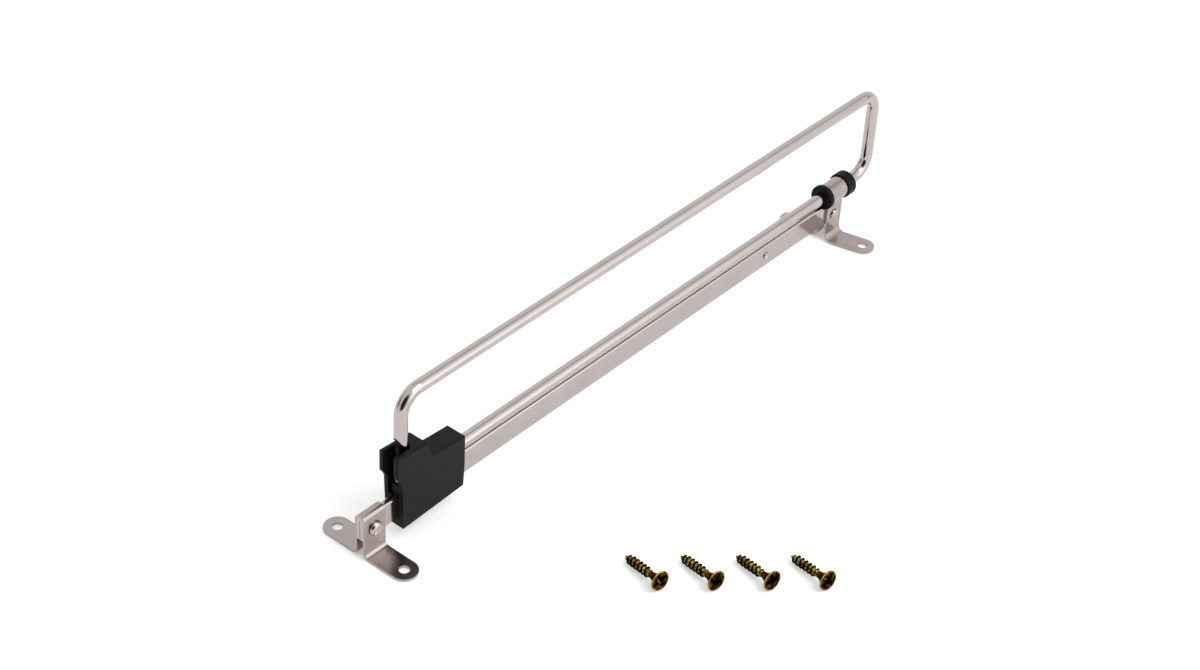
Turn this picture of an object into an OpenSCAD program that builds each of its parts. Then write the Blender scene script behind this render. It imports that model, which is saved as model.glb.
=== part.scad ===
// Retractable closet rod: a wire loop for clothes hangers that pulls out along a narrow rail.
// Millimetres. The origin is on the mounting plane, midway between the rear bracket's screw holes.
// +X points the way the loop pulls out, +Z from the mounting plane towards the hanging run.

/* [Rail] */
// Distance from the rear bracket's centre to the front bracket's centre
bracket_span = 420; // [300:1:600]
// Width of the rail, a strip that is folded double
rail_w = 4.4; // [3.6:0.1:6]
// Height of the rail
rail_h = 15.2; // [13:0.1:20]
// Height of the rail's underside above the mounting plane
rail_lift = 12.2; // [9:0.1:20]
// Space between the strip's two layers, open underneath
rail_seam = 0.4; // [0.2:0.1:1]
// Outer radius of the fold's two upper corners
rail_corner_r = 1.4; // [0.4:0.1:1.7]

/* [Hanger rod] */
// Diameter of the wire that the loop is bent from
rod_d = 8; // [7:0.1:9]
// Space between the rail's top and the lower run of the loop
rod_over_rail = 1.8; // [1:0.1:4]
// Height between the axes of the lower run and the hanging run
loop_h = 59.3; // [50:0.1:90]
// Distance from the rear bracket's centre to the rear leg's axis
rear_leg_x = 23.6; // [22.8:0.1:26]
// Distance from the front bracket's centre to the front leg's axis
front_leg_out = 36; // [34.5:0.5:60]
// Centreline radius of the bends
bend_r = 13; // [9:0.5:15]
// Thickness of the flattened tang at the foot of the rear leg
tang_t = 2.4; // [2:0.1:4]
// Width of the tang along the rail
tang_w = 5.4; // [4:0.1:6]
// Height of the two lobes in which the round wire ends on the tang's faces
lobe_h = 5; // [3:0.5:14]
// Height of the lobes' lower ends above the slider's raised top
lobe_lift = 3.3; // [0.5:0.1:5]

/* [Slider block] */
// Width of the block
block_w = 14; // [13:0.1:18]
// Distance from the rear bracket's centre to the block's lower rear end
block_rear_x = 19; // [15:0.1:19.8]
// Length of the block from its lower rear end to its front end
block_l = 48.6; // [46:0.1:70]
// How far the rear end leans back up to the S-curve
block_lean = 1.4; // [0:0.1:2]
// How much further back the S-curve takes the upper rear ends of the cheeks
block_flare = 3.8; // [2:0.1:5]
// Height of the block's front end above the rail's top
block_low_h = 16.8; // [15:0.1:22]
// Height of the raised rear top above the low front top
block_raise = 11; // [8:0.1:20]
// Angle by which both tops fall towards the front
top_fall = 4; // [0:0.5:5]
// Angle by which the underside rises towards the front
bottom_rise = 2.5; // [0:0.5:4]
// Thickness at the front end of the floor that closes the block under the rail
block_floor_t = 3.4; // [2:0.1:5]
// Distance from the rear leg's axis to the top of the slope
slope_start = 12.8; // [7:0.1:16]
// Length of the slope along the rail
slope_run = 4; // [2:0.1:10]
// Distance from the rail's top to the start of the S-curve on the rear end
flare_start = 10.6; // [9:0.1:14]
// Height of the S-curve
flare_h = 8.6; // [6:0.1:12]
// Width of the slot between the cheeks
cheek_slot = 8.4; // [7.2:0.1:9.4]
// Distance from the rear leg's axis to the closed end of the slot
slot_end = 5.6; // [4.8:0.1:6]
// Height of the web that grips the tang, above the rail's top
web_h = 6.5; // [5:0.1:17]
// Rear face of that web, measured back from the rear leg's axis
web_back = 3.7; // [3.4:0.1:4.5]
// Radius of the block's long edges
block_edge_r = 1.2; // [0.6:0.1:2]
// Radius of the block's upright corners
block_corner_r = 0.8; // [0.5:0.1:3]
// Depth of the bore that holds the lower run
run_bore_depth = 34; // [20:1:36]

/* [Brackets] */
// Sheet thickness of the brackets
strap_t = 1.4; // [1:0.1:2]
// Width of the rear bracket's strap
rear_strap_w = 16; // [13:0.1:17]
// Width of the front bracket's strap
front_strap_w = 15.4; // [13:0.1:18]
// Distance from the rail's axis to each screw hole
hole_y = 25.5; // [20:0.1:40]
// Diameter of the screw holes
hole_d = 6.4; // [4:0.1:7]
// Inner radius of the rear bracket's bends
rear_bend_r = 2.6; // [1:0.1:6]
// Inner radius of the front bracket's bends
front_bend_r = 4.4; // [1:0.1:6]
// Angle by which the front bracket's feet turn away from square
front_splay = 13; // [0:1:16]
// Fillet between the front bracket's collar and its legs
collar_fillet = 4.5; // [0.8:0.1:5]

/* [Guide bush] */
// Diameter of the bush under the collar
waist_d = 11.4; // [11:0.1:11.5]
// Diameter of the two flanges
flange_d = 16.6; // [15:0.1:17]
// Length of the rear flange
rear_flange_l = 4; // [2:0.1:8]
// Length of the front flange
front_flange_l = 8; // [4:0.1:10]
// Radius of the flanges' outer edges
flange_edge_r = 1; // [0.5:0.1:1.8]

/* [Rivets] */
// Head diameter of the rear rivet
rear_rivet_d = 9.2; // [6:0.1:10]
// Dome height of the rear rivet
rear_rivet_dome = 3; // [1:0.1:4]
// Height of the rear rivet above the rail's underside
rear_rivet_up = 5.8; // [4.5:0.1:7]
// Head diameter of the front rivet
front_rivet_d = 7; // [5:0.1:8]
// Dome height of the front rivet
front_rivet_dome = 1.5; // [1:0.1:3]
// Height of the front rivet above the rail's underside
front_rivet_up = 5.2; // [4.4:0.1:7]
// Shank diameter of the two bracket rivets
rivet_shank_d = 3.6; // [2.5:0.1:4.5]
// Thickness of the head that is formed on the far side
rivet_tail_t = 1; // [0.6:0.1:2]
// Distance from the front bracket's centre back to the stop pin
stop_back = 71; // [40:1:120]
// Diameter of the stop pin
stop_d = 4.4; // [2:0.1:6]
// How far each end of the stop pin stands out of the rail
stop_proud = 0.5; // [0.4:0.1:1.5]
// Depth of the dish in each end of the stop pin
stop_dish = 0.8; // [0.4:0.1:1]

/* [Mounting screws] */
// Length of a screw
screw_l = 30; // [20:1:60]
// Outer diameter of the thread
screw_d = 6; // [3:0.1:6]
// Diameter of the countersunk head
screw_head_d = 12; // [7.5:0.1:13]
// Length of the pointed tip
screw_tip_l = 6; // [3:0.1:8]
// Radius of the blunt end of the tip
screw_point_r = 0.5; // [0.3:0.1:1]
// Thickness of the rim round the top of the head
screw_rim_t = 0.6; // [0.3:0.1:1]
// Width of an arm of the cross recess
recess_w = 1.6; // [0.8:0.1:2]
// Length of the cross recess from arm end to arm end
recess_l = 6.6; // [3:0.1:7]
// Depth of the cross recess
recess_depth = 2.8; // [1:0.1:3]
// Number of loose screws that lie beside the rod
screw_count = 4; // [2:1:4]
// Tip of the first loose screw, along the rail
screw_x = 90; // [60:1:220]
// Tip of the first loose screw, in front of the rail
screw_y = 106; // [60:1:220]
// Step from one loose screw to the next, along the rail
screw_step_x = 21; // [14:1:40]
// Step from one loose screw to the next, away from the rail
screw_step_y = 22; // [0:1:40]
// Angle by which the loose screws turn from square to the rail
screw_yaw = -11; // [-60:1:60]

/* [Hidden] */

// Clearance of the wire in the bush and in the block
run_gap = 0.06;
// Clearance between the block and the rail, and between the bush and what it sits in
slide_gap = 0.2;
// Clearance between pieces that are fixed face to face
seat_gap = 0.05;
// Overrun of every cut
over = 1;
$fn = 48;

rod_r = rod_d / 2;
rail_top = rail_lift + rail_h;
rail_x0 = -rear_strap_w / 2;
rail_x1 = bracket_span + front_strap_w / 2;
layer_t = (rail_w - rail_seam) / 2;
run_z = rail_top + rod_over_rail + rod_r;
hang_z = run_z + loop_h;
front_leg_x = bracket_span + front_leg_out;

block_x1 = block_rear_x + block_l;
block_z0 = rail_lift - slide_gap - block_floor_t;
block_bottom_z = block_z0 - (block_x1 - block_rear_x) * tan(bottom_rise) - over;
block_low_z = rail_top + block_low_h;
block_high_z = block_low_z + block_raise;
lean_x = block_rear_x - block_lean;
flare_x = lean_x - block_flare;
block_top_z = block_high_z + (block_x1 - flare_x) * tan(top_fall);
flare_z0 = rail_top + flare_start;
slope_x0 = rear_leg_x + slope_start;
lobe_z = block_high_z + (block_x1 - rear_leg_x) * tan(top_fall) + lobe_lift;
tang_z0 = rail_top + slide_gap + rod_over_rail;
run_end_x = block_x1 - run_bore_depth + seat_gap;

leg_in = rail_w / 2 + seat_gap;
leg_out = leg_in + strap_t;
waist_r = waist_d / 2;
collar_in = waist_r + seat_gap;
collar_out = collar_in + strap_t;
rivet_r = rivet_shank_d / 2;
stop_x = bracket_span - stop_back;
head_r = screw_head_d / 2;
thread_r = screw_d / 2;

// Rectangle with round corners, from its lowest corner
module soft_square(size, r) {
    translate([r, 0]) square([size.x - 2 * r, size.y]);
    translate([0, r]) square([size.x, size.y - 2 * r]);
    for (x = [r, size.x - r], y = [r, size.y - r]) {
        translate([x, y]) circle(r);
    }
}

// Extrudes an outline drawn in Y and Z along X, from x0 to x1
module along_x(x0, x1) {
    translate([x0, 0, 0]) rotate([90, 0, 90]) linear_extrude(x1 - x0) children();
}

// Extrudes an outline drawn in X and Z to both sides of the middle plane
module across_y(width) {
    translate([0, width / 2, 0]) rotate([90, 0, 0]) linear_extrude(width) children();
}

// Round cut across the rail
module cross_hole(x, z, r, reach) {
    translate([x, reach, z]) rotate([90, 0, 0]) cylinder(h = 2 * reach, r = r);
}

// Outline of the rail from a height up to its fold, larger by a clearance
module rail_outline(z0, gap) {
    half_w = rail_w / 2 + gap;
    corner_r = rail_corner_r + gap;
    corner_z = rail_top + gap - corner_r;
    translate([-half_w, z0]) square([2 * half_w, corner_z - z0]);
    translate([corner_r - half_w, z0]) square([2 * (half_w - corner_r), rail_top + gap - z0]);
    for (y = [corner_r - half_w, half_w - corner_r]) {
        translate([y, corner_z]) circle(corner_r);
    }
}

module guide_rail() {
    color("silver") difference() {
        along_x(rail_x0, rail_x1) difference() {
            rail_outline(rail_lift, 0);
            translate([-rail_seam / 2, rail_lift - over])
                square([rail_seam, rail_h - layer_t - rail_seam / 2 + over]);
            translate([0, rail_top - layer_t - rail_seam / 2]) circle(rail_seam / 2);
        }
        cross_hole(0, rail_lift + rear_rivet_up, rivet_r + seat_gap, rail_w);
        cross_hole(bracket_span, rail_lift + front_rivet_up, rivet_r + seat_gap, rail_w);
        cross_hole(stop_x, rail_lift + rail_h / 2, stop_d / 2 + seat_gap, rail_w);
    }
}

// Quarter bend at the foot of a leg, and the leg above it up to a height, on the side of +Y
module leg_outline(inner_r, top_z) {
    centre = [leg_out + inner_r, strap_t + inner_r];
    translate([leg_in, centre.y]) square([strap_t, top_z - centre.y]);
    intersection() {
        translate(centre) difference() {
            circle(inner_r + strap_t);
            circle(inner_r);
        }
        translate([leg_in, 0]) square([centre.x - leg_in, centre.y]);
    }
}

// Flat foot from the fold line to a round end about its screw hole, on the side of +Y
module foot(inner_r, width, splay) {
    fold_y = leg_out + inner_r;
    reach = (hole_y - fold_y) / cos(splay);
    difference() {
        linear_extrude(strap_t) intersection() {
            translate([0, fold_y]) rotate(splay) {
                translate([-width / 2, -width / 2]) square([width, reach + width / 2]);
                translate([0, reach]) circle(width / 2);
            }
            translate([-width, fold_y]) square([2 * width, hole_y + width]);
        }
        translate([-(hole_y - fold_y) * tan(splay), hole_y, -over])
            cylinder(h = strap_t + 2 * over, d = hole_d);
    }
}

// Both feet of a bracket: the far one turns back and the near one forward
module feet(inner_r, width, splay) {
    for (turn = [0, 180]) {
        rotate(turn) foot(inner_r, width, splay);
    }
}

module rear_bracket() {
    color("silver") difference() {
        union() {
            along_x(-rear_strap_w / 2, rear_strap_w / 2) {
                difference() {
                    rail_outline(rail_lift, seat_gap + strap_t);
                    rail_outline(rail_lift - over, seat_gap);
                }
                for (side = [0, 1]) {
                    mirror([side, 0]) leg_outline(rear_bend_r, rail_top - rail_h / 2);
                }
            }
            feet(rear_bend_r, rear_strap_w, 0);
        }
        cross_hole(0, rail_lift + rear_rivet_up, rivet_r + seat_gap, rail_w);
    }
}

// Outline of the front strap: it wraps the bush, pinches under it and runs down the rail's faces
module collar_outline() {
    fillet_y = leg_out + collar_fillet;
    fillet_z = run_z - sqrt(pow(collar_out + collar_fillet, 2) - pow(fillet_y, 2));
    difference() {
        union() {
            translate([0, run_z]) circle(collar_out);
            for (side = [0, 1]) {
                mirror([side, 0]) {
                    leg_outline(front_bend_r, run_z);
                    difference() {
                        polygon([[leg_in, run_z], [fillet_y, fillet_z], [leg_in, fillet_z]]);
                        translate([fillet_y, fillet_z]) circle(collar_fillet);
                    }
                }
            }
        }
        translate([0, run_z]) circle(collar_in);
        translate([-leg_in, 0]) square([2 * leg_in, run_z]);
    }
}

module front_bracket() {
    color("silver") translate([bracket_span, 0, 0]) difference() {
        union() {
            along_x(-front_strap_w / 2, front_strap_w / 2) collar_outline();
            feet(front_bend_r, front_strap_w, front_splay);
        }
        cross_hole(0, rail_lift + front_rivet_up, rivet_r + seat_gap, rail_w);
    }
}

// Rivet across the rail: a domed head on the near side and a low formed head on the far side
module rivet(head_d, dome) {
    ball_r = (pow(head_d / 2, 2) + pow(dome, 2)) / (2 * dome);
    face = leg_out + seat_gap;
    translate([0, -face, 0]) rotate([90, 0, 0]) rotate_extrude() intersection() {
        translate([0, dome - ball_r]) circle(ball_r, $fn = 96);
        square([head_d, dome]);
    }
    translate([0, face, 0]) rotate([90, 0, 0]) cylinder(h = 2 * face, r = rivet_r);
    translate([0, face + rivet_tail_t, 0]) rotate([90, 0, 0])
        cylinder(h = rivet_tail_t, r = head_d / 2 - rivet_tail_t);
}

module rear_rivet() {
    color("silver") translate([0, 0, rail_lift + rear_rivet_up]) rivet(rear_rivet_d, rear_rivet_dome);
}

module front_rivet() {
    color("silver") translate([bracket_span, 0, rail_lift + front_rivet_up])
        rivet(front_rivet_d, front_rivet_dome);
}

// Pin with dished ends that the slider's walls run against when the loop is pulled right out
module stop_pin() {
    end = rail_w / 2 + stop_proud;
    ball_r = (pow(stop_d / 2, 2) + pow(stop_dish, 2)) / (2 * stop_dish);
    color("silver") translate([stop_x, 0, rail_lift + rail_h / 2]) rotate([90, 0, 0])
        rotate_extrude() difference() {
            translate([0, -end]) square([stop_d / 2, 2 * end]);
            for (side = [-1, 1]) {
                translate([0, side * (end + ball_r - stop_dish)]) circle(ball_r, $fn = 96);
            }
        }
}

// Spool in the collar: its rear flange is notched over the rail, its front flange stands past the rail
module guide_bush() {
    x0 = -front_strap_w / 2 - seat_gap - rear_flange_l;
    x1 = front_strap_w / 2 + seat_gap;
    spool_l = x1 - x0 + front_flange_l;
    color("#303032") translate([bracket_span, 0, run_z]) difference() {
        rotate([0, 90, 0]) rotate_extrude() difference() {
            union() {
                translate([0, x0]) square([waist_r, spool_l]);
                translate([0, x0]) flange_outline(rear_flange_l);
                translate([0, x1]) flange_outline(front_flange_l);
            }
            translate([0, x0 - over]) square([rod_r + run_gap, spool_l + 2 * over]);
        }
        translate([0, 0, -run_z]) along_x(x0 - over, x0 + rear_flange_l + seat_gap)
            rail_outline(0, slide_gap);
    }
}

// Half section of a flange with round outer edges
module flange_outline(length) {
    square([flange_d / 2 - flange_edge_r, length]);
    translate([waist_r - flange_edge_r, 0])
        soft_square([flange_d / 2 - waist_r + flange_edge_r, length], flange_edge_r);
}

// Straight length of wire from one point to another, given in X and Z along one axis
module wire(from, to) {
    length = norm(to - from);
    along = (to - from) / length;
    translate([from.x, 0, from.y]) rotate([0, atan2(along.x, along.y), 0]) cylinder(h = length, r = rod_r);
}

// Quarter bend of wire about a centre in X and Z, starting at an angle from +X
module bend(centre, start) {
    translate([centre.x, 0, centre.y]) rotate([90, -start, 0]) rotate_extrude(angle = 90)
        translate([bend_r, 0]) circle(rod_r);
}

module hanger_rod() {
    color("silver") {
        wire([run_end_x, run_z], [front_leg_x - bend_r, run_z]);
        bend([front_leg_x - bend_r, run_z + bend_r], -90);
        wire([front_leg_x, run_z + bend_r], [front_leg_x, hang_z - bend_r]);
        bend([front_leg_x - bend_r, hang_z - bend_r], 0);
        wire([front_leg_x - bend_r, hang_z], [rear_leg_x + bend_r, hang_z]);
        bend([rear_leg_x + bend_r, hang_z - bend_r], 90);
        intersection() {
            wire([rear_leg_x, lobe_z - over], [rear_leg_x, hang_z - bend_r]);
            across_y(2 * rod_d) lobe_outline();
        }
        translate([rear_leg_x - tang_w / 2, -tang_t / 2, tang_z0])
            cube([tang_w, tang_t, lobe_z + lobe_h - tang_z0]);
    }
}

// Side outline of the rear leg: the round wire ends in a parabola on each face of the tang
module lobe_outline() {
    curve = [for (share = [-1:0.1:1]) [rear_leg_x + rod_r * share, lobe_z + lobe_h * share * share]];
    beside = [for (side = [1, -1]) rear_leg_x + side * rod_d];
    polygon(concat(curve, [[beside[0], lobe_z + lobe_h], [beside[0], hang_z], [beside[1], hang_z],
        [beside[1], lobe_z + lobe_h]]));
}

// Side outline of the block's rear end, up to a height and forward to two corners
module rear_outline(top_z, corners) {
    s_curve = [for (share = [0:0.1:1])
        [lean_x - block_flare * (1 - cos(180 * share)) / 2, flare_z0 + flare_h * share]];
    polygon(concat([[block_rear_x, block_bottom_z]], s_curve, [[flare_x, top_z]], corners));
}

// Upright slab with round corners, between a falling top and a rising underside with round long edges
module soft_block(x0, x1, front_top_z) {
    tall = 2 * (block_top_z - block_bottom_z);
    intersection() {
        translate([block_x1, 0, front_top_z]) rotate([0, top_fall, 0]) along_x(-2 * block_l, over)
            translate([-block_w / 2, -tall]) soft_square([block_w, tall], block_edge_r);
        translate([block_x1, 0, block_z0]) rotate([0, -bottom_rise, 0]) along_x(-2 * block_l, over)
            translate([-block_w / 2, 0]) soft_square([block_w, tall], block_edge_r);
        translate([x0, -block_w / 2, block_bottom_z - over])
            linear_extrude(tall) soft_square([x1 - x0, block_w], block_corner_r);
    }
}

// The block without its cuts: the low slab, and the raised slab as far as the slope
module block_body() {
    slope_lead = slope_run * over / block_raise;
    intersection() {
        soft_block(flare_x, block_x1, block_low_z);
        across_y(block_w + 2 * over) rear_outline(block_top_z, [[block_x1 + over, block_top_z],
            [block_x1 + over, block_bottom_z]]);
    }
    intersection() {
        soft_block(flare_x, block_x1, block_high_z);
        across_y(block_w + 2 * over) rear_outline(block_top_z + over,
            [[slope_x0 - slope_lead, block_top_z + over], [slope_x0 + slope_run, block_top_z - block_raise],
            [slope_x0 + slope_run, block_bottom_z]]);
    }
}

module slider_block() {
    slot_x1 = rear_leg_x + slot_end;
    web_x0 = rear_leg_x - web_back;
    web_z = rail_top + web_h;
    color("#303032") difference() {
        block_body();
        // tunnel for the rail
        along_x(flare_x - over, block_x1 + over) rail_outline(rail_lift - slide_gap, slide_gap);
        // slot between the cheeks, down to the rail behind the web and down to the web over it
        translate([flare_x - over, -cheek_slot / 2, rail_top])
            cube([web_x0 - flare_x + over, cheek_slot, block_top_z]);
        translate([flare_x - over, -cheek_slot / 2, web_z])
            cube([slot_x1 - cheek_slot / 2 - flare_x + over, cheek_slot, block_top_z]);
        translate([slot_x1 - cheek_slot / 2, 0, web_z]) cylinder(h = block_top_z, d = cheek_slot);
        // pocket that grips the tang
        translate([rear_leg_x - tang_w / 2, -tang_t / 2, tang_z0] - seat_gap * [1, 1, 1])
            cube([tang_w + 2 * seat_gap, tang_t + 2 * seat_gap, block_top_z]);
        // bore that holds the lower run
        translate([block_x1 - run_bore_depth, 0, run_z]) rotate([0, 90, 0])
            cylinder(h = run_bore_depth + over, r = rod_r + run_gap);
    }
}

// Countersunk screw with its tip at the origin and its head along -Y
module screw() {
    cone_l = head_r - thread_r;
    cone_z = screw_l - screw_rim_t - cone_l;
    rotate([90, 0, 0]) difference() {
        union() {
            cylinder(h = screw_tip_l, r1 = screw_point_r, r2 = thread_r);
            translate([0, 0, screw_tip_l]) cylinder(h = cone_z - screw_tip_l, r = thread_r);
            translate([0, 0, cone_z]) cylinder(h = cone_l, r1 = thread_r, r2 = head_r);
            translate([0, 0, screw_l - screw_rim_t]) cylinder(h = screw_rim_t, r = head_r);
        }
        for (size = [[recess_l, recess_w], [recess_w, recess_l]]) {
            translate([-size.x / 2, -size.y / 2, screw_l - recess_depth])
                cube([size.x, size.y, recess_depth + over]);
        }
    }
}

// Loose screws, each resting on the start of its thread and on the rim of its head
module mounting_screws() {
    lean = atan((head_r - thread_r) / (screw_l - screw_tip_l));
    tip_z = head_r * cos(lean) - screw_l * sin(lean);
    color("goldenrod") for (i = [0:screw_count - 1]) {
        translate([screw_x + i * screw_step_x, -screw_y - i * screw_step_y, tip_z])
            rotate([0, 0, screw_yaw]) rotate([-lean, 0, 0]) screw();
    }
}

guide_rail();
rear_bracket();
front_bracket();
rear_rivet();
front_rivet();
stop_pin();
guide_bush();
hanger_rod();
slider_block();
mounting_screws();
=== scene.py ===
"""A retractable closet rod: a nickel-plated wire loop on a narrow rail, with four loose screws."""

import math

import bmesh
import bpy
from mathutils import Matrix, Vector


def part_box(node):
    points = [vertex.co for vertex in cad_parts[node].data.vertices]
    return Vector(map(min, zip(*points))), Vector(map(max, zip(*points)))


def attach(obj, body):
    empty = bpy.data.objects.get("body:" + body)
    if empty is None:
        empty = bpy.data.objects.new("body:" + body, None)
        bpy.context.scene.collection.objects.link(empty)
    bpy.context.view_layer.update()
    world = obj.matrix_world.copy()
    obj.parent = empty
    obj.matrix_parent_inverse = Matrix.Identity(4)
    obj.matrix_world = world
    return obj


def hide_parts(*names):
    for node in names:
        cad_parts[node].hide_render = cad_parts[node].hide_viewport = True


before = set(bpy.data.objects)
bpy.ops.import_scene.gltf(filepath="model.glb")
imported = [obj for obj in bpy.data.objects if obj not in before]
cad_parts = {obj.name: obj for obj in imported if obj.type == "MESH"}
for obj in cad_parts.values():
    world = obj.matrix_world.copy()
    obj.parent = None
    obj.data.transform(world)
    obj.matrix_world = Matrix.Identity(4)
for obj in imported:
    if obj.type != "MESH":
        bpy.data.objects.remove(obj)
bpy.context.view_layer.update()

MM = 0.001
QUARTER_TURN = math.pi / 2

# The photograph's camera, in millimetres and degrees, for an image of 1200 by 670
CAMERA_AT = (-715.4, -718.6, 920.7)
CAMERA_AZIMUTH = 51.55
CAMERA_ELEVATION = 37.21
CAMERA_ROLL = 3.42
CAMERA_LENS = 74.73
SENSOR_WIDTH = 36.0
CLIP_START = 0.05
CLIP_END = 50

# Rounded edges, as widths in millimetres, on edges sharper than an angle
WIRE_EDGE = 0.45
RAIL_EDGE = 0.25
SHEET_EDGE = 0.18
PLASTIC_EDGE = 0.25
EDGE_FROM = math.radians(40)

# Faces of the turned pieces that meet at more than this angle aren't smoothed together
CREASE_FROM = math.radians(38)

# How near other surfaces have to be for painted shade in a seam, in millimetres
CREVICE_SHADE_REACH = 1.2

# The loose screws, in millimetres and degrees, as the solids have them
SCREW_COUNT = 4
SCREW_LENGTH = 30.0
SCREW_TIP_AT = (90.0, -106.0)
SCREW_STEP = (21.0, -22.0)
SCREW_YAW = -11.0
HEAD_RADIUS = 6.0
HEAD_RIM = 0.6
CREST_RADIUS = 3.0
TIP_LENGTH = 6.0

# How far each screw is turned about its own axis, in degrees: the first one, and each one more
FIRST_SPIN = 20
SPIN_STEP = 37

# What the solids leave out of a screw: thread, trumpet, dished face and recess, in millimetres
ROOT_RADIUS = 1.9
POINT_RADIUS = 0.12 * ROOT_RADIUS
THREAD_PITCH = 3.0
THREAD_END = 0.73 * SCREW_LENGTH
THREAD_HALF_WIDTH = 0.75
THREAD_FADE = 2.2
THREAD_FADE_AT_TIP = 0.6 * TIP_LENGTH
FLANK_SLOPE = 1.25
TRUMPET_LENGTH = 7.6
TRUMPET_CONE = 0.15
TRUMPET_CURVE = 2.4
FACE_DISH = 0.5
RECESS_REACH = 4.592
RECESS_HALF_WIDTH = 1.15
RECESS_LOW_REACH = 1.722
RECESS_LOW_HALF_WIDTH = 0.6
RECESS_DEPTH = 3.0
RECESS_POINT = 0.6
SCREW_SIDES = 48
SCREW_SLICE = 0.125

# Tones of the zinc plate, from black at nothing to pale gold at one, and how fast painted shade
# darkens them up the thread's flanks towards the crests
GOLD = 0.86
BRONZE = 0.53
CREST_SHADE_RATE = 1.3

# The head from its rim to its face: how far in, how far below the top, and the tone
HEAD_OUTLINE = [(0, 0.21, GOLD), (0.2, 0.05, GOLD), (0.55, 0, GOLD),
                (0.95, 0.12, BRONZE), (1.3, FACE_DISH, BRONZE), (3.0, FACE_DISH, BRONZE)]

# The two bracket rivets, in millimetres: how far each head stands out, and what both share
RIVET_DOMES = {"rear_rivet": 3.0, "front_rivet": 1.5}
RIVET_TAIL = 1.0
RIVET_TAIL_ROUND = 0.4
RIVET_SHANK = 1.8
RIVET_RIM = 0.3
RIVET_UNDERCUT = 0.1
RIVET_ROUNDNESS = 0.62
RIVET_SIDES = 64
DOME_STEPS = 12
TAIL_STEPS = 6
ON_AXIS = 1e-6

# The floor, in metres, and the light it adds for the camera and for mirrors
FLOOR_REACH = 4.0
FLOOR_DROP = 0.0005
FLOOR_LIFT = 0.32
MIRROR_LIFT = 0.16

# The soft lamp, in metres, as bright as a white surface of its radiance
LAMP_AT = (0.4, -1.0, 1.4)
LAMP_AIM = (0.2, 0, 0.03)
LAMP_SIDE = 0.9
LAMP_RADIANCE = 3.4

# The studio's surroundings: their colour on the near and the far side
NEAR_SKY = (0.90, 0.88, 0.865)
FAR_SKY = (0.94, 0.97, 1.0)

# Dark quarters: a direction, the angles in degrees where each is whole and gone, and its colour
DARK_QUARTERS = [((-0.75, -0.5, 0.42), 23, 38, (0.05, 0.03, 0.025)),
                 ((-0.65, 0.65, 0.2), 8, 28, (0.45, 0.43, 0.42))]

# The gap between two ceiling panels lies where y + GAP_X x + GAP_Z z is nothing
GAP_X = 0.8
GAP_Z = -0.65
GAP_SHADE = (0.32, 0.28, 0.26)

# What the low panel at the front right adds
PANEL_GLOW = (1.06, 1.14, 1.12)


def add_camera():
    """A camera that looks down the given azimuth and elevation, rolled about its own axis."""
    az, el, roll = (math.radians(a) for a in (CAMERA_AZIMUTH, CAMERA_ELEVATION, CAMERA_ROLL))
    forward = Vector((math.sin(az) * math.cos(el), math.cos(az) * math.cos(el), -math.sin(el)))
    level = Vector((math.cos(az), -math.sin(az), 0))
    upward = level.cross(forward)
    right = math.cos(roll) * level + math.sin(roll) * upward
    up = -math.sin(roll) * level + math.cos(roll) * upward
    data = bpy.data.cameras.new("camera")
    data.sensor_fit = "HORIZONTAL"
    data.sensor_width = SENSOR_WIDTH
    data.lens = CAMERA_LENS
    data.clip_start = CLIP_START
    data.clip_end = CLIP_END
    camera = bpy.data.objects.new("camera", data)
    turn = Matrix((right, up, -forward)).transposed()
    camera.matrix_world = Matrix.Translation(Vector(CAMERA_AT) * MM) @ turn.to_4x4()
    bpy.context.scene.collection.objects.link(camera)
    bpy.context.scene.camera = camera


def new_material(name):
    """A node material, its tree and its Principled shader."""
    material = bpy.data.materials.new(name)
    material.use_nodes = True
    tree = material.node_tree
    return material, tree, tree.nodes["Principled BSDF"]


def texture_space(tree, stretch=(1, 1, 1)):
    """Object coordinates, scaled along the axes."""
    coordinates = tree.nodes.new("ShaderNodeTexCoord")
    mapping = tree.nodes.new("ShaderNodeMapping")
    mapping.inputs["Scale"].default_value = stretch
    tree.links.new(coordinates.outputs["Object"], mapping.inputs["Vector"])
    return mapping.outputs["Vector"]


def noise(tree, space, scale, detail=3.0, roughness=0.55):
    """A noise factor from 0 to 1."""
    node = tree.nodes.new("ShaderNodeTexNoise")
    node.inputs["Scale"].default_value = scale
    node.inputs["Detail"].default_value = detail
    node.inputs["Roughness"].default_value = roughness
    tree.links.new(space, node.inputs["Vector"])
    return node.outputs["Fac"]


def ramp(tree, factor, stops):
    """A colour ramp through (position, colour) stops."""
    node = tree.nodes.new("ShaderNodeValToRGB")
    elements = node.color_ramp.elements
    while len(elements) < len(stops):
        elements.new(0.5)
    for element, (position, colour) in zip(elements, stops):
        element.position = position
        element.color = (*colour, 1)
    tree.links.new(factor, node.inputs["Fac"])
    return node.outputs["Color"]


def spread(tree, factor, low, high, start=0.0, end=1.0):
    """Maps a factor between start and end to low..high, and holds it at these beyond."""
    node = tree.nodes.new("ShaderNodeMapRange")
    node.inputs["From Min"].default_value = start
    node.inputs["From Max"].default_value = end
    node.inputs["To Min"].default_value = low
    node.inputs["To Max"].default_value = high
    tree.links.new(factor, node.inputs["Value"])
    return node.outputs["Result"]


def math_node(tree, operation, *values):
    """A math node whose inputs are numbers or sockets."""
    node = tree.nodes.new("ShaderNodeMath")
    node.operation = operation
    for socket, value in zip(node.inputs, values):
        if isinstance(value, (int, float)):
            socket.default_value = value
        else:
            tree.links.new(value, socket)
    return node.outputs["Value"]


def bump(tree, shader, height, distance):
    """Bends a shader's normal by a height factor, over a distance in millimetres."""
    node = tree.nodes.new("ShaderNodeBump")
    node.inputs["Distance"].default_value = distance * MM
    tree.links.new(height, node.inputs["Height"])
    tree.links.new(node.outputs["Normal"], shader.inputs["Normal"])


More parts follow.
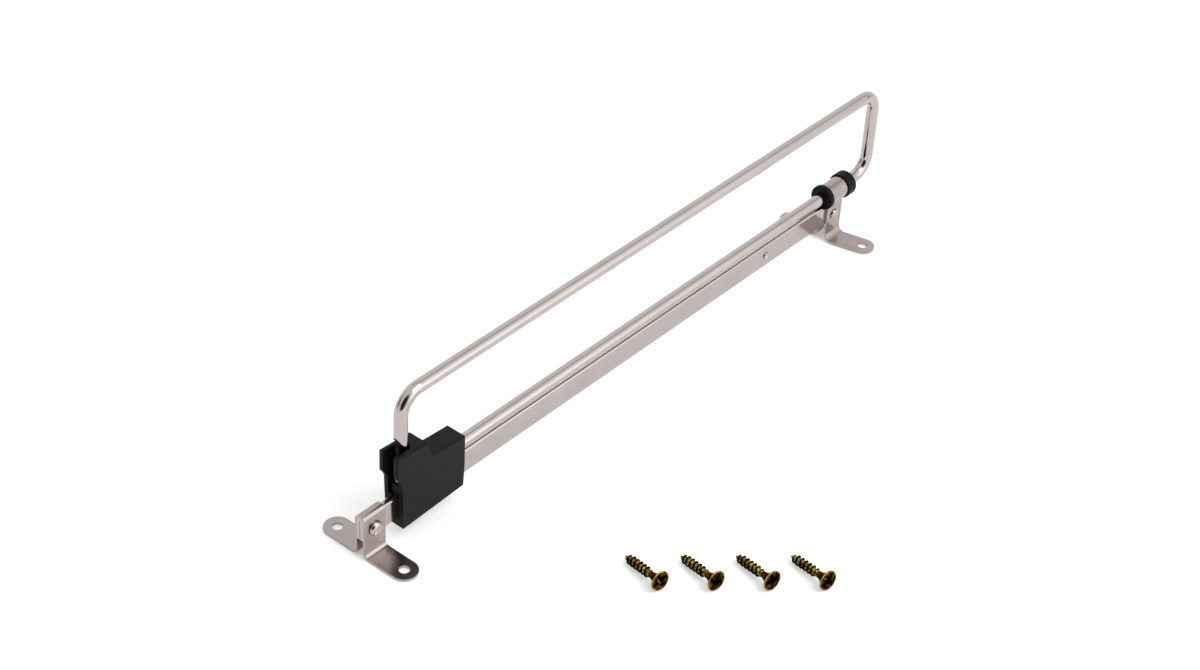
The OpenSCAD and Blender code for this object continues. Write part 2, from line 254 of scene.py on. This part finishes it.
def blend_in(tree, mode, colour, factor, other):
    """Blends a fixed colour into a colour socket by a factor socket."""
    mix = tree.nodes.new("ShaderNodeMix")
    mix.data_type = "RGBA"
    mix.blend_type = mode
    tree.links.new(factor, mix.inputs["Factor"])
    tree.links.new(colour, mix.inputs["A"])
    mix.inputs["B"].default_value = (*other, 1)
    return mix.outputs["Result"]


def paint_crevice_shade(tree, colour, dark, start):
    """Paints shade into a colour where other surfaces hem it in, wholly where openness is below
    start.
    """
    # painted shade: occlusion darkens the colour towards the dark colour in seams and hollows
    hollow = tree.nodes.new("ShaderNodeAmbientOcclusion")
    hollow.inputs["Distance"].default_value = CREVICE_SHADE_REACH * MM
    depth = spread(tree, hollow.outputs["AO"], 1, 0, start, end=0.8)
    return blend_in(tree, "MULTIPLY", colour, depth, dark)


def nickel(name, bright, clouded, roughness, line_scale, line_depth, stretch):
    """Nickel plate on drawn or rolled steel: faint clouds, fine lines, painted shade in seams,
    uneven gloss.
    """
    material, tree, shader = new_material(name)
    shader.inputs["Metallic"].default_value = 1
    cloud = noise(tree, texture_space(tree), 55)
    plate = ramp(tree, cloud, [(0.3, clouded), (0.7, bright)])
    # painted shade: the plate darkens where other surfaces hem it in
    plate = paint_crevice_shade(tree, plate, dark=(0.16, 0.13, 0.11), start=0.35)
    tree.links.new(plate, shader.inputs["Base Color"])
    lines = noise(tree, texture_space(tree, stretch), line_scale, detail=4)
    tree.links.new(spread(tree, lines, *roughness), shader.inputs["Roughness"])
    bump(tree, shader, lines, line_depth)
    return material


def black_plastic():
    """Moulded black plastic with a fine spark-eroded grain."""
    material, tree, shader = new_material("black_plastic")
    shader.inputs["Specular IOR Level"].default_value = 0.12
    grain = noise(tree, texture_space(tree), 2600, detail=5, roughness=0.7)
    cloud = noise(tree, texture_space(tree), 90)
    colour = ramp(tree, cloud, [(0.3, (0.004, 0.004, 0.0045)), (0.7, (0.007, 0.007, 0.008))])
    tree.links.new(colour, shader.inputs["Base Color"])
    tree.links.new(spread(tree, grain, 0.34, 0.52), shader.inputs["Roughness"])
    bump(tree, shader, grain, 0.02)
    return material


def yellow_zinc():
    """Yellow zinc: crests darkened by painted shade, a bronze head, a golden root and rim."""
    material, tree, shader = new_material("yellow_zinc")
    shader.inputs["Metallic"].default_value = 1
    shader.inputs["Specular Tint"].default_value = (0.5, 0.4, 0.25, 1)
    cloud = noise(tree, texture_space(tree), 420, detail=4, roughness=0.6)
    tone = tree.nodes.new("ShaderNodeAttribute")
    tone.attribute_name = "tone"
    drift = spread(tree, cloud, -0.28, 0.28, start=0.3, end=0.7)
    colour = ramp(tree, math_node(tree, "ADD", tone.outputs["Fac"], drift), [
        (0.15, (0.003, 0.001, 0.0005)),
        (0.45, (0.026, 0.010, 0.002)),
        (0.72, (0.11, 0.060, 0.009)),
        (0.98, (0.47, 0.355, 0.08)),
    ])
    # painted shade: the zinc darkens in thread roots, the recess and other hemmed-in places
    colour = paint_crevice_shade(tree, colour, dark=(0.15, 0.10, 0.06), start=0.3)
    tree.links.new(colour, shader.inputs["Base Color"])
    tree.links.new(spread(tree, cloud, 0.14, 0.3), shader.inputs["Roughness"])
    bump(tree, shader, cloud, 0.02)
    return material


def dress(material, *nodes, edge=0.0):
    """Gives CAD nodes one material, and their sharp edges a rounding of a width in millimetres."""
    for node in nodes:
        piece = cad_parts[node]
        piece.data.materials.clear()
        piece.data.materials.append(material)
        if edge:
            bevel = piece.modifiers.new("edge", "BEVEL")
            bevel.width = edge * MM
            bevel.segments = 2
            bevel.limit_method = "ANGLE"
            bevel.angle_limit = EDGE_FROM
            bevel.use_clamp_overlap = True
            bevel.harden_normals = True


def add_piece(mesh, name, material):
    """Makes a shown piece from a bmesh, smooth but for the creases where it turns sharply."""
    data = bpy.data.meshes.new(name)
    mesh.to_mesh(data)
    mesh.free()
    data.materials.append(material)
    data.shade_smooth()
    data.set_sharp_from_angle(angle=CREASE_FROM)
    piece = bpy.data.objects.new(name, data)
    bpy.context.scene.collection.objects.link(piece)
    return piece


def thread_height(along, turn):
    """How far the thread stands out at a distance from the tip and an angle in turns."""
    offset = (along / THREAD_PITCH - turn) % 1
    distance = min(offset, 1 - offset) * THREAD_PITCH
    full = CREST_RADIUS - ROOT_RADIUS
    fade = min(1, max(0, (THREAD_END - along) / THREAD_FADE)) * min(1, along / THREAD_FADE_AT_TIP)
    return full * fade * min(1, FLANK_SLOPE * max(0, 1 - distance / THREAD_HALF_WIDTH))


def root_radius(along):
    """Radius of the screw without its thread: pointed tip, plain core, then the trumpet."""
    if along < TIP_LENGTH:
        growth = math.sin(QUARTER_TURN * along / TIP_LENGTH)
        return POINT_RADIUS + (ROOT_RADIUS - POINT_RADIUS) * growth
    trumpet_start = SCREW_LENGTH - HEAD_RIM - TRUMPET_LENGTH
    if along <= trumpet_start:
        return ROOT_RADIUS
    share = (along - trumpet_start) / TRUMPET_LENGTH
    flare = TRUMPET_CONE * share + (1 - TRUMPET_CONE) * share ** TRUMPET_CURVE
    return ROOT_RADIUS + (HEAD_RADIUS - ROOT_RADIUS) * flare


def screw_rings():
    """The screw's rings from the tip up: for each corner its root radius, height, thread, tone."""
    for step in range(1, round((SCREW_LENGTH - HEAD_RIM) / SCREW_SLICE) + 1):
        along = step * SCREW_SLICE
        tone = BRONZE if along > THREAD_END else GOLD
        yield [(root_radius(along), along, thread_height(along, k / SCREW_SIDES), tone)
               for k in range(SCREW_SIDES)]
    for inset, drop, tone in HEAD_OUTLINE:
        yield [(HEAD_RADIUS - inset, SCREW_LENGTH - drop, 0, tone)] * SCREW_SIDES


def screw_body():
    """One screw without its recess, tip at the origin and head up, in millimetres."""
    mesh = bmesh.new()
    tones = mesh.verts.layers.float.new("tone")
    rows = []
    for ring in screw_rings():
        row = []
        for k, (root, along, height, tone) in enumerate(ring):
            angle = 2 * math.pi * k / SCREW_SIDES
            radius = root + height
            vertex = mesh.verts.new((radius * math.cos(angle), radius * math.sin(angle), along))
            # painted shade: each corner's tone darkens up the flank towards the thread's crest
            vertex[tones] = tone * max(0, 1 - CREST_SHADE_RATE * height / (CREST_RADIUS - ROOT_RADIUS))
            row.append(vertex)
        rows.append(row)
    tip = mesh.verts.new((0, 0, 0))
    top = mesh.verts.new((0, 0, SCREW_LENGTH - FACE_DISH))
    tip[tones], top[tones] = GOLD, BRONZE
    for lower, upper in zip(rows, rows[1:]):
        for k in range(SCREW_SIDES):
            n = (k + 1) % SCREW_SIDES
            mesh.faces.new((lower[k], lower[n], upper[n], upper[k]))
    for k in range(SCREW_SIDES):
        n = (k + 1) % SCREW_SIDES
        mesh.faces.new((tip, rows[0][n], rows[0][k]))
        mesh.faces.new((top, rows[-1][k], rows[-1][n]))
    data = bpy.data.meshes.new("screw_body")
    mesh.to_mesh(data)
    mesh.free()
    return bpy.data.objects.new("screw_body", data)


def cross_ring(mesh, reach, half_width, z):
    """The twelve corners of a cross at one height."""
    corners = [(reach, -half_width), (reach, half_width), (half_width, half_width)]
    ring = []
    for arm in range(4):
        c, s = math.cos(QUARTER_TURN * arm), math.sin(QUARTER_TURN * arm)
        ring += [mesh.verts.new((c * x - s * y, s * x + c * y, z)) for x, y in corners]
    return ring


def recess_cutter():
    """Tapered cross with a pointed bottom that cuts the recess."""
    mesh = bmesh.new()
    low_z = SCREW_LENGTH - RECESS_DEPTH
    upper = cross_ring(mesh, RECESS_REACH, RECESS_HALF_WIDTH, SCREW_LENGTH + HEAD_RIM)
    lower = cross_ring(mesh, RECESS_LOW_REACH, RECESS_LOW_HALF_WIDTH, low_z)
    point = mesh.verts.new((0, 0, low_z - RECESS_POINT))
    mesh.faces.new(upper)
    for k in range(len(upper)):
        n = (k + 1) % len(upper)
        mesh.faces.new((upper[n], upper[k], lower[k], lower[n]))
        mesh.faces.new((lower[n], lower[k], point))
    bmesh.ops.recalc_face_normals(mesh, faces=mesh.faces)
    data = bpy.data.meshes.new("recess_cutter")
    mesh.to_mesh(data)
    mesh.free()
    return bpy.data.objects.new("recess_cutter", data)


def cut(body, cutter):
    """The body's mesh with the cutter's space taken out."""
    collection = bpy.context.scene.collection
    for piece in (body, cutter):
        collection.objects.link(piece)
    modifier = body.modifiers.new("cut", "BOOLEAN")
    modifier.operation = "DIFFERENCE"
    modifier.solver = "EXACT"
    modifier.object = cutter
    depsgraph = bpy.context.evaluated_depsgraph_get()
    result = bpy.data.meshes.new_from_object(body.evaluated_get(depsgraph))
    for piece in (body, cutter):
        bpy.data.objects.remove(piece)
    return result


def screw_places():
    """Where the solids lie: each screw rests on the start of its thread and the rim of its head."""
    lean = math.atan((HEAD_RADIUS - CREST_RADIUS) / (SCREW_LENGTH - TIP_LENGTH))
    tip_z = HEAD_RADIUS * math.cos(lean) - SCREW_LENGTH * math.sin(lean)
    turn = (Matrix.Rotation(math.radians(SCREW_YAW), 4, "Z") @ Matrix.Rotation(-lean, 4, "X")
            @ Matrix.Rotation(QUARTER_TURN, 4, "X"))
    for number in range(SCREW_COUNT):
        x, y = (at + number * step for at, step in zip(SCREW_TIP_AT, SCREW_STEP))
        spin = Matrix.Rotation(math.radians(SPIN_STEP * number + FIRST_SPIN), 4, "Z")
        yield Matrix.Scale(MM, 4) @ Matrix.Translation((x, y, tip_z)) @ turn @ spin


def add_screws(material):
    """The four threaded screws as one piece."""
    one = cut(screw_body(), recess_cutter())
    joined = bmesh.new()
    for place in screw_places():
        copy = one.copy()
        copy.transform(place)
        joined.from_mesh(copy)
        bpy.data.meshes.remove(copy)
    bpy.data.meshes.remove(one)
    screws = add_piece(joined, "threaded_screws", material)
    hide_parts("mounting_screws")
    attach(screws, "rail")


def rivet_profile(radius, dome, face):
    """Radius and height of a rivet's outline, from the dome's top down to the formed tail."""
    for step in range(DOME_STEPS + 1):
        angle = QUARTER_TURN * (1 - step / DOME_STEPS)
        height = face + RIVET_RIM + (dome - RIVET_RIM) * math.sin(angle)
        yield radius * math.cos(angle) ** RIVET_ROUNDNESS, height
    tail = radius - RIVET_TAIL
    yield radius - RIVET_UNDERCUT, face
    yield RIVET_SHANK, face
    yield RIVET_SHANK, -face
    yield tail, -face
    for step in range(TAIL_STEPS + 1):
        angle = QUARTER_TURN * step / TAIL_STEPS
        reach = tail - RIVET_TAIL_ROUND * (1 - math.cos(angle))
        yield reach, -face - RIVET_TAIL + RIVET_TAIL_ROUND * (1 - math.sin(angle))
    yield 0, -face - RIVET_TAIL


def add_rivet(node, material):
    """A turned rivet with a rounder head than the solid's, in the same place and size."""
    low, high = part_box(node)
    dome = RIVET_DOMES[node]
    radius = (high[0] - low[0]) / 2 / MM
    face = -low[1] / MM - dome
    angles = [2 * math.pi * k / RIVET_SIDES for k in range(RIVET_SIDES)]
    mesh = bmesh.new()
    rows = []
    for reach, height in rivet_profile(radius, dome, face):
        if reach < ON_AXIS:
            rows.append([mesh.verts.new((0, -height, 0))])
        else:
            rows.append([mesh.verts.new((reach * math.cos(a), -height, reach * math.sin(a)))
                         for a in angles])
    for upper, lower in zip(rows, rows[1:]):
        for k in range(RIVET_SIDES):
            n = (k + 1) % RIVET_SIDES
            corners = [upper[k % len(upper)], upper[n % len(upper)],
                       lower[n % len(lower)], lower[k % len(lower)]]
            mesh.faces.new(list(dict.fromkeys(corners)))
    bmesh.ops.recalc_face_normals(mesh, faces=mesh.faces)
    middle = Matrix.Translation(((low[0] + high[0]) / 2, 0, (low[2] + high[2]) / 2))
    mesh.transform(middle @ Matrix.Scale(MM, 4))
    piece = add_piece(mesh, "turned_" + node, material)
    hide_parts(node)
    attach(piece, "rail")


def lobe(tree, direction, toward, inner, outer):
    """One within inner degrees of a direction, fading to nothing at outer degrees."""
    node = tree.nodes.new("ShaderNodeVectorMath")
    node.operation = "DOT_PRODUCT"
    node.inputs[1].default_value = Vector(toward).normalized()
    tree.links.new(direction, node.inputs[0])
    start, end = (math.cos(math.radians(angle)) for angle in (outer, inner))
    return spread(tree, node.outputs["Value"], 0, 1, start, end)


def add_world():
    """Studio surroundings: soft, with a ceiling gap, dark quarters and a low panel in front."""
    world = bpy.data.worlds.new("world")
    bpy.context.scene.world = world
    world.use_nodes = True
    tree = world.node_tree
    background = tree.nodes["Background"]
    background.inputs["Strength"].default_value = 1
    direction = tree.nodes.new("ShaderNodeTexCoord").outputs["Generated"]
    parts = tree.nodes.new("ShaderNodeSeparateXYZ")
    tree.links.new(direction, parts.inputs["Vector"])
    x, y, z = (parts.outputs[axis] for axis in "XYZ")

    beyond = spread(tree, y, 0, 1, start=-0.3, end=0.6)
    colour = ramp(tree, beyond, [(0.0, NEAR_SKY), (1.0, FAR_SKY)])

    line = math_node(tree, "ADD", y, math_node(tree, "MULTIPLY", z, GAP_Z))
    line = math_node(tree, "ADD", line, math_node(tree, "MULTIPLY", x, GAP_X))
    gap = spread(tree, math_node(tree, "ABSOLUTE", line), 1, 0, start=0.03, end=0.15)
    gap = math_node(tree, "MULTIPLY", gap, spread(tree, x, 1.0, 0.5, start=0.5, end=0.66))
    colour = blend_in(tree, "MULTIPLY", colour, gap, GAP_SHADE)

    for toward, inner, outer, shade in DARK_QUARTERS:
        quarter = lobe(tree, direction, toward, inner, outer)
        colour = blend_in(tree, "MULTIPLY", colour, quarter, shade)

    panel = spread(tree, x, 1, 0, start=0.56, end=0.75)
    for side in (spread(tree, x, 0, 1, start=-0.3, end=0.1),
                 spread(tree, z, 1, 0, start=0.35, end=0.85),
                 spread(tree, y, 1, 0, start=-0.4, end=-0.1)):
        panel = math_node(tree, "MULTIPLY", panel, side)
    colour = blend_in(tree, "ADD", colour, panel, PANEL_GLOW)

    rays = tree.nodes.new("ShaderNodeLightPath").outputs
    colour = blend_in(tree, "MIX", colour, rays["Is Camera Ray"], (1.0, 1.0, 1.0))
    tree.links.new(colour, background.inputs["Color"])


def add_lamp():
    """One large soft lamp at the front, above the object."""
    data = bpy.data.lights.new("key_light", "AREA")
    data.shape = "RECTANGLE"
    data.size = data.size_y = LAMP_SIDE
    data.energy = LAMP_RADIANCE * math.pi * LAMP_SIDE * LAMP_SIDE
    lamp = bpy.data.objects.new("key_light", data)
    lamp.location = LAMP_AT
    aim = Vector(LAMP_AIM) - Vector(LAMP_AT)
    lamp.rotation_euler = aim.to_track_quat("-Z", "Y").to_euler()
    bpy.context.scene.collection.objects.link(lamp)


def add_floor():
    """A pale floor that cameras and mirrors see as plain white, with a faint shadow."""
    material, tree, shader = new_material("floor")
    shader.inputs["Base Color"].default_value = (0.9, 0.9, 0.9, 1)
    shader.inputs["Roughness"].default_value = 0.9
    shader.inputs["Specular IOR Level"].default_value = 0
    shader.inputs["Emission Color"].default_value = (1, 1, 1, 1)
    rays = tree.nodes.new("ShaderNodeLightPath").outputs
    mirrored = math_node(tree, "MAXIMUM", rays["Is Glossy Ray"], rays["Is Transmission Ray"])
    for_camera = math_node(tree, "MULTIPLY", rays["Is Camera Ray"], FLOOR_LIFT)
    for_mirrors = math_node(tree, "MULTIPLY", mirrored, MIRROR_LIFT)
    lift = math_node(tree, "MAXIMUM", for_camera, for_mirrors)
    tree.links.new(lift, shader.inputs["Emission Strength"])
    mesh = bpy.data.meshes.new("floor")
    corners = [(x * FLOOR_REACH, y * FLOOR_REACH, 0)
               for x, y in ((-1, -1), (1, -1), (1, 1), (-1, 1))]
    mesh.from_pydata(corners, [], [(0, 1, 2, 3)])
    mesh.materials.append(material)
    floor = bpy.data.objects.new("floor", mesh)
    floor.location.z = -FLOOR_DROP
    bpy.context.scene.collection.objects.link(floor)


add_camera()
add_world()
add_lamp()
add_floor()

wire_nickel = nickel(
    "wire_nickel", bright=(0.54, 0.48, 0.465), clouded=(0.50, 0.445, 0.43),
    roughness=(0.04, 0.10), line_scale=300, line_depth=0.001, stretch=(0.15, 1, 1))
rail_nickel = nickel(
    "rail_nickel", bright=(0.53, 0.475, 0.46), clouded=(0.49, 0.44, 0.425),
    roughness=(0.10, 0.18), line_scale=500, line_depth=0.002, stretch=(0.15, 1, 1))
sheet_nickel = nickel(
    "sheet_nickel", bright=(0.46, 0.40, 0.38), clouded=(0.40, 0.345, 0.325),
    roughness=(0.19, 0.28), line_scale=700, line_depth=0.002, stretch=(0.2, 1, 1))
plastic = black_plastic()
zinc = yellow_zinc()

dress(wire_nickel, "hanger_rod", edge=WIRE_EDGE)
dress(wire_nickel, "rear_rivet", "front_rivet", "stop_pin")
dress(rail_nickel, "guide_rail", edge=RAIL_EDGE)
dress(sheet_nickel, "rear_bracket", "front_bracket", edge=SHEET_EDGE)
dress(plastic, "slider_block", "guide_bush", edge=PLASTIC_EDGE)
dress(zinc, "mounting_screws")
for name in RIVET_DOMES:
    add_rivet(name, wire_nickel)
add_screws(zinc)

bpy.context.scene.view_settings.view_transform = "Standard"
